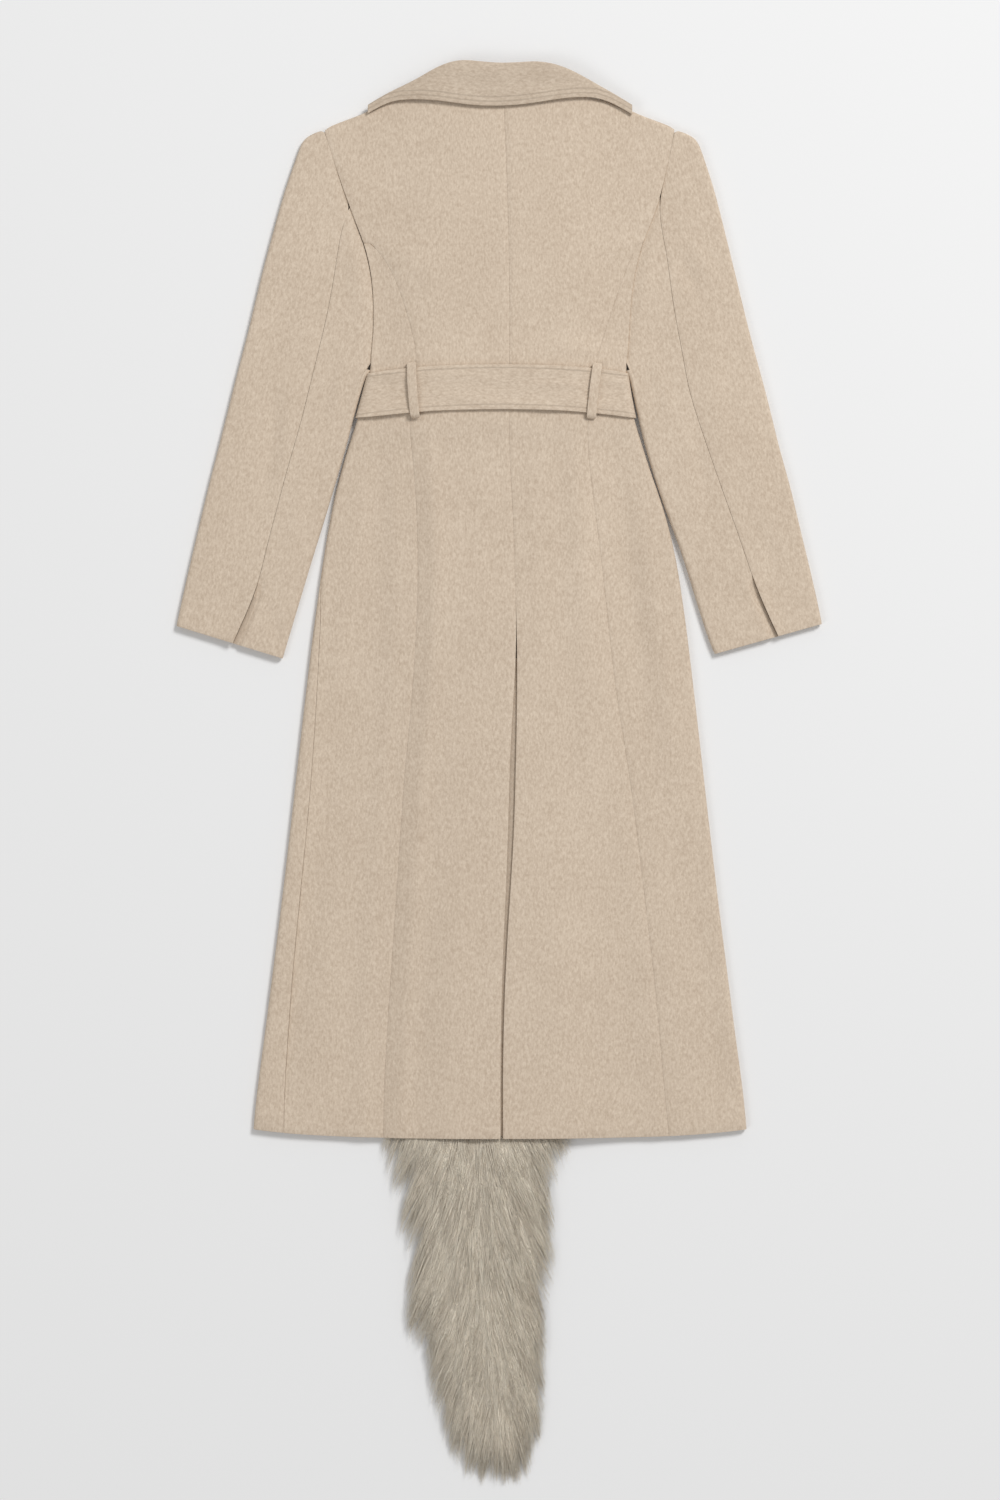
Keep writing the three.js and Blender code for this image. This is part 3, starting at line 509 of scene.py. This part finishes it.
for node, cut in SLEEVE_CUTS.items():
    side = node.split("_")[1]
    part = cloth_from(node, wool_sleeves[side])
    at = places(part)
    rise = sum(soft_fold(at, *fold) for fold in SLEEVE_FOLDS[side])
    upper = fade(at[:, 2], *SLEEVE_WALL)
    at[:, 2] += np.maximum(rise, SLEEVE_DEEPEST) * upper
    slit_top, slit_end = (np.array(end) for end in CUFF_SLITS[side])
    way = (slit_end - slit_top) / np.hypot(*(slit_end - slit_top))
    off = at[:, :2] - slit_top
    opened = fade(off @ way, 0.0, 12.0)
    outward, column = (-1.0, 1) if side == "left" else (1.0, 2)
    armhole = outward * at[:, 0] - np.interp(at[:, 1], ARMHOLE[:, 0], ARMHOLE[:, column])
    joined = fade(ARMHOLE_JOIN - armhole, 0.0, ARMHOLE_JOIN) * fade(at[:, 1], 882.0, 12.0)
    underarm = bell(at[:, 1] - 908.0, 13.0)
    at[:, 0] -= outward * (DRAWN_IN[0] + DRAWN_IN[1] * underarm) * joined
    sunk = bell(armhole, 8.0) * fade(at[:, 1], 890.0, 20.0) * fade(1150.0 - at[:, 1], 0.0, 60.0)
    at[:, 2] -= ARMHOLE_SINK * upper * sunk
    if node.startswith("under"):
        from_tip = np.hypot(outward * at[:, 0] - TIP[side][0], at[:, 1] - TIP[side][1])
        at[:, 1] += 5.0 * bell(from_tip, 10.0)
    from_slit = np.abs(off @ np.array([-way[1], way[0]]))
    if node.startswith("under"):
        at[:, 2] -= upper * opened * SLIT_DROP * fade(9.0 - from_slit, 0.0, 3.0)
    else:
        at[:, 2] += upper * opened * SLIT_LIFT * bell(from_slit, 9.0)
    set_places(part, at)
    # Painted shade: the undersleeve is darkened in a band along the open cuff slit, and both
    # pieces along the armhole beside the body.
    in_slit = np.where(node.startswith("under"), np.maximum(from_slit - 3.2, 0.0), NOT_SEWN)
    beside_body = np.where(at[:, 1] > 896.0, np.abs(armhole), NOT_SEWN)
    note_lines(part, np.minimum(in_slit + 40.0 * (1.0 - opened), beside_body))

# Collar: the fall lies on the back, turns over the roll line and goes down as the stand. Its edge
# is sewn twice and stands up a little from the back.
FALL_EDGE = np.array([  # place across the back and height of the fall's edge
    [-154, 1195.5], [-134, 1206.5], [-118, 1210.5], [-94, 1210.8], [-71, 1209], [-47, 1205.6],
    [-24, 1203.2], [0, 1203], [23, 1204.3], [46, 1207.4], [70, 1211.2], [93, 1213.5],
    [112, 1213], [128, 1208.5], [142, 1201.5], [154, 1194.5],
], float)
COLLAR_SEWN = (4.6, 10.0)  # the two lines of sewing above the fall's edge
EDGE_STANDS = 2.0
# Painted shade: the whole collar's wool is darkened, and painted shade lies along its two sewn
# lines.
wool_collar = wool("wool_collar", turn=math.radians(90), shade=0.89, sewn=COLLAR_SEWN)
collar = cloth_from("collar", wool_collar, levels=3)
COLLAR_FOLDS = [
    ((-60, 1240), (20, 1244), 9.0, 1.2, 2.0),
    ((30, 1228), (104, 1222), 7.0, -0.9, 2.0),
    ((-124, 1214), (-50, 1226), 7.0, 0.9, 2.0),
    ((-20, 1216), (60, 1220), 8.0, 0.7, 1.0),
]
settle(collar, COLLAR_FOLDS)
at = places(collar)
above_edge = at[:, 1] - np.interp(at[:, 0], FALL_EDGE[:, 0], FALL_EDGE[:, 1])
at[:, 2] += EDGE_STANDS * fade(at[:, 2], 8.0, 2.0) * bell(above_edge, 11.0)
set_places(collar, at)
note_lines(collar, above_edge)

# Belt: one flat band of coating round the waist, sewn along both edges, with uneven lengthwise
# wrinkles. Its lower edge stands off the skirt in places, where it throws a shadow.
BELT_HEIGHT = 876.0
BELT_EDGE = 26.0  # from the belt's middle to its edge
BELT_SEWN = 4.6  # from the edge to the sewing
BELT_SAG = 10.0  # how much lower the belt lies at its ends
BELT_HALF = 158.0
# Painted shade lies along the belt's two sewn lines.
wool_belt = wool("wool_belt", turn=math.radians(90), sewn=(BELT_SEWN, NO_LINE))
belt = cloth_from("belt", wool_belt, levels=3)
BELT_RIPPLES = [
    ((-158, 888), (-84, 890), 4.0, 1.1, 2.0),
    ((-150, 874), (-104, 876), 3.5, -0.8, 2.0),
    ((-156, 854), (-100, 860), 5.0, 1.3, -2.0),
    ((-96, 884), (-20, 888), 4.0, 0.9, 3.0),
    ((-76, 866), (-6, 862), 4.5, 0.9, -2.0),
    ((-50, 876), (20, 874), 3.0, -0.6, 2.0),
    ((-30, 858), (50, 858), 4.5, 0.8, -1.0),
    ((6, 890), (80, 890), 4.0, 0.9, 1.5),
    ((30, 878), (104, 874), 3.5, 0.9, 3.0),
    ((60, 862), (150, 852), 5.0, 1.2, 1.0),
    ((112, 884), (158, 878), 4.0, 1.0, 1.0),
]


def belt_middle(x):
    return BELT_HEIGHT - BELT_SAG * (x / BELT_HALF) ** 2


settle(belt, BELT_RIPPLES)
at = places(belt)
from_middle = at[:, 1] - belt_middle(at[:, 0])
standing = 0.8 + 2.4 * bell(at[:, 0] + 138.0, 34.0) + 1.3 * bell(at[:, 0] - 54.0, 30.0)
lower_edge = bell(from_middle + BELT_EDGE, 8.0) * standing
upper_edge = 0.7 * bell(from_middle - BELT_EDGE, 6.0)
at[:, 2] += fade(at[:, 2], 8.0, 4.0) * (lower_edge + upper_edge)
set_places(belt, at)
note_lines(belt, BELT_EDGE - np.abs(from_middle))

# Belt loops: two narrow turned tubes of coating, sewn to the back above and below the belt and
# standing a little off it.
LOOP_BOWS = {"left": -1.6, "right": -0.8}
LOOP_LIFT = 0.4
LOOP_ARCH = 1.5
LOOP_END = 3.0  # length over which each end is drawn in where it is sewn down
for side, bow in LOOP_BOWS.items():
    loop = cloth_from("belt_loop_" + side, wool_body, rounding=0.0008)
    at = places(loop)
    length = np.ptp(at[:, 1])
    step = np.clip((at[:, 1] - at[:, 1].min()) / length, 0.0, 1.0)
    arch = np.sin(np.pi * step) ** 0.5
    at[:, 2] += LOOP_LIFT + LOOP_ARCH * arch
    at[:, 0] += bow * arch
    end_places = [at[step < 0.1, 0].mean(), at[step > 0.9, 0].mean()]
    across = at[:, 0] - np.interp(step, [0.0, 1.0], end_places)
    to_end = np.minimum(step, 1.0 - step) * length
    at[:, 0] -= across * 0.45 * np.clip(1.0 - to_end / LOOP_END, 0.0, 1.0) ** 2
    set_places(loop, at)

# Sewing: short stitches of matching thread, sunk a little into the nap, along both edges of the
# belt, twice along the collar's fall, over the top of the vent and above each cuff slit.
thread = bpy.data.materials.new("thread")
thread.use_nodes = True
thread_shader = thread.node_tree.nodes["Principled BSDF"]
thread_shader.inputs["Base Color"].default_value = (0.42, 0.335, 0.255, 1.0)
thread_shader.inputs["Roughness"].default_value = 0.7
STITCH_PITCH = 3.4
STITCH_HALF = 1.25
STITCH_RADIUS = 0.27
STITCH_SINK = (0.06, 0.3)  # into the nap at the middle, and more at the ends
STITCH_RINGS = np.array([[-1.0, 0.45], [-0.7, 1.0], [0.7, 1.0], [1.0, 0.45]])


def sew(name, cloths, lines):
    """One joined mesh of stitches along lines of garment millimetres, on top of the cloths."""
    tops = [BVHTree.FromObject(cloth, bpy.context.evaluated_depsgraph_get()) for cloth in cloths]
    corners, faces = [], []
    for line in lines:
        line = np.array(line, float)
        steps = np.hypot(*np.diff(line, axis=0).T)
        run = np.concatenate([[0.0], np.cumsum(steps)])
        for middle in np.arange(STITCH_PITCH / 2, run[-1], STITCH_PITCH):
            ends = [np.array([np.interp(middle + half, run, line[:, k]) for k in (0, 1)])
                    for half in (-STITCH_HALF, STITCH_HALF)]
            centre = (ends[0] + ends[1]) / 2
            way = (ends[1] - ends[0]) / 2
            side = np.array([-way[1], way[0]]) / np.hypot(*way)
            start = Vector((centre[0] / 1000, centre[1] / 1000 + HEM_Y, 0.2))
            hits = [tree.ray_cast(start, Vector((0, 0, -1)))[0] for tree in tops]
            level = max((hit.z for hit in hits if hit), default=None)
            if level is None:
                continue
            base = len(corners)
            for place, swell in STITCH_RINGS:
                for k in range(4):
                    angle = math.pi * (0.25 + 0.5 * k)
                    flat = centre + way * place + side * STITCH_RADIUS * swell * math.cos(angle)
                    rise = STITCH_RADIUS * swell * math.sin(angle)
                    rise = rise - STITCH_SINK[0] - STITCH_SINK[1] * abs(place)
                    corners.append((flat[0] / 1000, flat[1] / 1000 + HEM_Y, level + rise / 1000))
            last = base + 4 * (len(STITCH_RINGS) - 1)
            faces.append([base + k for k in (3, 2, 1, 0)])
            faces.append([last + k for k in range(4)])
            for ring in range(base, last, 4):
                for k in range(4):
                    beside = (k + 1) % 4
                    faces.append([ring + k, ring + beside, ring + 4 + beside, ring + 4 + k])
    mesh = bpy.data.meshes.new(name)
    mesh.from_pydata(corners, [], faces)
    mesh.materials.append(thread)
    mesh.update()
    piece = bpy.data.objects.new(name, mesh)
    bpy.context.scene.collection.objects.link(piece)
    bpy.ops.object.select_all(action="DESELECT")
    piece.select_set(True)
    bpy.context.view_layer.objects.active = piece
    bpy.ops.object.shade_smooth()
    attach(piece, "root")


belt_x = np.linspace(-150.0, 146.0, 60)
sew("belt_stitches", [belt], [
    np.column_stack([belt_x, belt_middle(belt_x) + side * (BELT_EDGE - BELT_SEWN)])
    for side in (-1, 1)
])
sew("collar_stitches", [collar], [
    FALL_EDGE[1:-1] + np.array([0.0, above]) for above in COLLAR_SEWN
])
vent_cloths = [bpy.data.objects["cloth_back_centre_" + side] for side in ("left", "right")]
VENT_LINE = [(13.0, 590.0), (-24.0, 577.0)]
sew("vent_stitches", vent_cloths, [VENT_LINE])
CUFF_LINES = {
    "left": [(-304.0, 658.5), (-280.5, 652.5)],
    "right": [(297.0, 661.0), (324.5, 667.0)],
}
for side, line in CUFF_LINES.items():
    cuff = [bpy.data.objects[kind + side] for kind in ("cloth_topsleeve_", "cloth_undersleeve_")]
    sew("cuff_stitches_" + side, cuff, [line])

# Fur stole: two rows of long silky hair laid away from a parting, over a dense pale underfur.
# The run under the coat is pressed flat; below the hem the hair stands full and hangs in locks.
FUR_EDGES = np.array([  # place along the stole from the hem, left edge, right edge
    [12, -128, 74], [-6, -135, 75], [-32, -129, 63], [-68, -117, 60], [-103, -113, 60],
    [-138, -102, 60], [-173, -107, 57], [-200, -116, 53], [-226, -107, 51], [-243, -95, 49],
    [-296, -82, 46], [-331, -73, 45], [-349, -69, 39], [-366, -60, 34], [-386, -47, 22],
    [-403, -9, 13],
], float)
FUR_CROWN = np.array([  # place along the stole from the hem, height of the loft
    [12, 9.0], [-6, 12.0], [-32, 17.5], [-68, 18.5], [-138, 18.0], [-200, 17.0], [-262, 15.0],
    [-331, 12.0], [-366, 9.5], [-386, 7.5], [-403, 3.0],
], float)


def fur_material(name, tip, root):
    material = bpy.data.materials.new(name)
    material.use_nodes = True
    tree = material.node_tree
    shader = tree.nodes["Principled BSDF"]
    shader.inputs["Roughness"].default_value = 0.62
    shader.inputs["Specular IOR Level"].default_value = 0.35
    tone = tree.nodes.new("ShaderNodeAttribute")
    tone.attribute_name = "tone"
    blend = tree.nodes.new("ShaderNodeMix")
    blend.data_type = "RGBA"
    blend.inputs[6].default_value = root
    blend.inputs[7].default_value = tip
    tree.links.new(tone.outputs["Fac"], blend.inputs["Factor"])
    tree.links.new(blend.outputs[2], shader.inputs["Base Color"])
    return material


def fur_edges_at(y):
    order = np.argsort(FUR_EDGES[:, 0])
    rows = FUR_EDGES[order]
    return np.interp(y, rows[:, 0], rows[:, 1]), np.interp(y, rows[:, 0], rows[:, 2])


def fur_height(x, y):
    left, right = fur_edges_at(y)
    rows = FUR_CROWN[np.argsort(FUR_CROWN[:, 0])]
    crown = np.interp(y, rows[:, 0], rows[:, 1])
    off = np.clip(np.abs(2 * (x - left) / np.maximum(right - left, 1.0) - 1), 0.0, 1.0)
    dome = np.sqrt(1 - 0.9 * off * off)
    parting = 1 - 0.25 * bell(off, 0.14)
    return crown * dome * parting


# The dense underfur is one soft body that follows the stole's solid, a little lower than the hair.
NARROWER, LOWER = 0.3, 0.58  # shares by which the loose end of the underfur is smaller
SHORTER = 44.0
fur_hair = fur_material("fur_hair", (1.0, 0.93, 0.79, 1.0), (0.58, 0.5, 0.4, 1.0))
fur_under = bpy.data.materials.new("fur_under")
fur_under.use_nodes = True
fur_tree = fur_under.node_tree
fur_under_shader = fur_tree.nodes["Principled BSDF"]
fur_under_shader.inputs["Roughness"].default_value = 0.95
under_place = fur_tree.nodes.new("ShaderNodeTexCoord")
under_way = node_in(fur_tree, "ShaderNodeMapping", Scale=(1.0, 0.1, 1.0))
under_hair = node_in(fur_tree, "ShaderNodeTexNoise", Scale=260.0, Detail=3.0)
under_mix = fur_tree.nodes.new("ShaderNodeMix")
under_mix.data_type = "RGBA"
under_mix.inputs[6].default_value = (0.6, 0.53, 0.44, 1.0)
under_mix.inputs[7].default_value = (0.9, 0.81, 0.69, 1.0)
fur_tree.links.new(under_place.outputs["Object"], under_way.inputs["Vector"])
fur_tree.links.new(under_way.outputs["Vector"], under_hair.inputs["Vector"])
fur_tree.links.new(under_hair.outputs["Fac"], under_mix.inputs["Factor"])
fur_tree.links.new(under_mix.outputs[2], fur_under_shader.inputs["Base Color"])

underfur = cloth_from("fur_stole", fur_under, levels=1)
underfur.name = "fur_underfur"
at = places(underfur)
loose = fade(12.0 - at[:, 1], 0.0, 22.0)
middle_x = -28.0 + 0.02 * at[:, 1]
at[:, 0] += loose * (middle_x - at[:, 0]) * NARROWER
at[:, 2] *= 1.0 - LOWER * loose
at[:, 1] += fade(-300.0 - at[:, 1], 0.0, 104.0) * SHORTER
set_places(underfur, at)

# The guard hair: tapered three-sided hairs, each in a lock whose tip gathers the hairs of that
# lock. They lie away from the parting, downwards and outwards, layer upon layer.
HAIR_STEPS = 3
LOCK_COUNT = 1250
HAIRS_A_PIECE = 9900
FUR_PIECES = 3
ROOTS_UP_TO = 34.0  # the uppermost roots lie this far under the hem
FARTHEST_TIP = -409.0
SINK = 0.93  # the hair starts a little inside the loft
hair_random = np.random.default_rng(41)


def lock_table(count):
    """Tips, directions, lengths and tones of the locks, in garment millimetres."""
    y = 4.0 - 402.0 * hair_random.random(count) ** 0.92
    left, right = fur_edges_at(y)
    u = hair_random.uniform(-1.0, 1.0, count)
    x = (left + right) / 2 + 1.05 * u * (right - left) / 2
    aside = np.interp(y, [-403, -300, -80, -20, 4], [9, 3, 0, 7, 9])
    x += aside * np.where(y < -200, 1.0, np.sign(u))
    spread = np.interp(y, [-403, -300, 0], [0.45, 0.85, 1.0])
    lean = 31.0 * spread * np.sign(u) * np.abs(u) ** 0.7
    lean = np.radians(lean + hair_random.normal(0.0, 2.2, count))
    length = hair_random.uniform(86.0, 150.0, count)
    tone = np.clip(0.52 + hair_random.normal(0.0, 0.08, count), 0.05, 1.0)
    curl = hair_random.normal(0.0, 1.6, count) - 6.0 * u * spread
    layer = hair_random.random(count)
    return x, y, lean, length, tone, curl, layer


lock_x, lock_y, lock_lean, lock_length, lock_tone, lock_curl, lock_layer = lock_table(LOCK_COUNT)


def hair_piece(number):
    count = HAIRS_A_PIECE
    lock = hair_random.integers(0, LOCK_COUNT, count)
    tip = np.stack([lock_x[lock], lock_y[lock]], 1)
    tip += hair_random.normal(0.0, 1.0, (count, 2)) * np.array([0.9, 8.0])
    tip[:, 1] = np.maximum(tip[:, 1], FARTHEST_TIP + hair_random.exponential(5.0, count))
    lean = lock_lean[lock] + hair_random.normal(0.0, 0.028, count)
    length = lock_length[lock] * hair_random.uniform(0.8, 1.1, count)
    length = np.minimum(length, (ROOTS_UP_TO - tip[:, 1]) / np.cos(lean))
    way = np.stack([np.sin(lean), -np.cos(lean)], 1)
    root = tip - way * length[:, None]
    root += hair_random.normal(0.0, 1.0, (count, 2)) * np.array([2.7, 6.0])
    left, right = fur_edges_at(root[:, 1])
    root[:, 0] = np.clip(root[:, 0], left + 9.0, right - 9.0)
    root[:, 1] = np.minimum(root[:, 1], ROOTS_UP_TO)
    way = tip - root
    way /= np.hypot(way[:, 0], way[:, 1])[:, None]
    side_way = np.stack([way[:, 1], -way[:, 0]], 1)
    lift = 0.6 + 4.6 * lock_layer[lock] + hair_random.uniform(0.0, 1.2, count)
    radius = hair_random.uniform(0.2, 0.38, count)
    tone = np.clip(lock_tone[lock] + hair_random.normal(0.0, 0.2, count), 0.0, 1.0)
    rings = []
    tones = []
    for step in range(HAIR_STEPS + 1):
        t = step / HAIR_STEPS
        centre = root * (1 - t) + tip * t
        centre = centre + side_way * (lock_curl[lock] * math.sin(math.pi * t) * 0.7)[:, None]
        height = fur_height(centre[:, 0], centre[:, 1]) * SINK
        height = height + lift * math.sin(math.pi * (0.02 + 0.83 * t))
        height = height - 2.6 * (1 - t) ** 2 - 0.9 * t
        thick = radius * (1.0 - 0.86 * t**1.6)
        for corner in range(3):
            angle = 2 * math.pi * corner / 3
            offset = side_way * (thick * math.cos(angle) * 1.25)[:, None]
            z = np.maximum(height + thick * math.sin(angle), 0.35)
            rings.append(np.column_stack([centre + offset, z]))
            tones.append(np.clip(tone * (0.45 + 0.85 * t), 0.0, 1.0))
    points = np.stack(rings, 1).reshape(-1, 3)
    shades = np.stack(tones, 1).ravel()
    ring = np.arange(HAIR_STEPS)[:, None] * 3
    corners = np.arange(3)[None, :]
    following = (corners + 1) % 3
    quads = np.stack(
        [ring + corners, ring + following, ring + 3 + following, ring + 3 + corners], -1
    ).reshape(-1, 4)
    per_hair = 3 * (HAIR_STEPS + 1)
    base = np.arange(count)[:, None, None] * per_hair
    sides = (quads[None] + base).reshape(-1, 4)
    caps = np.array([[2, 1, 0], [per_hair - 3, per_hair - 2, per_hair - 1]])
    ends = (caps[None] + base).reshape(-1, 3)
    mesh = bpy.data.meshes.new(f"fur_hair_{number}")
    world = (points + np.array([0.0, HEM_Y * 1000.0, 0.0])) / 1000.0
    mesh.vertices.add(len(world))
    mesh.vertices.foreach_set("co", world.ravel())
    loops = np.concatenate([sides.ravel(), ends.ravel()])
    mesh.loops.add(len(loops))
    mesh.loops.foreach_set("vertex_index", loops)
    side_starts = np.arange(len(sides)) * 4
    starts = np.concatenate([side_starts, len(sides) * 4 + np.arange(len(ends)) * 3])
    mesh.polygons.add(len(starts))
    mesh.polygons.foreach_set("loop_start", starts)
    mesh.update(calc_edges=True)
    kept = mesh.attributes.new("tone", "FLOAT", "POINT")
    kept.data.foreach_set("value", shades.astype(np.float32))
    mesh.materials.append(fur_hair)
    piece = bpy.data.objects.new(f"fur_hair_{number}", mesh)
    bpy.context.scene.collection.objects.link(piece)
    bpy.ops.object.select_all(action="DESELECT")
    piece.select_set(True)
    bpy.context.view_layer.objects.active = piece
    bpy.ops.object.mode_set(mode="EDIT")
    bpy.ops.mesh.select_all(action="SELECT")
    bpy.ops.mesh.normals_make_consistent(inside=False)
    bpy.ops.object.mode_set(mode="OBJECT")
    bpy.ops.object.shade_smooth()
    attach(piece, "root")


for number in range(1, FUR_PIECES + 1):
    hair_piece(number)
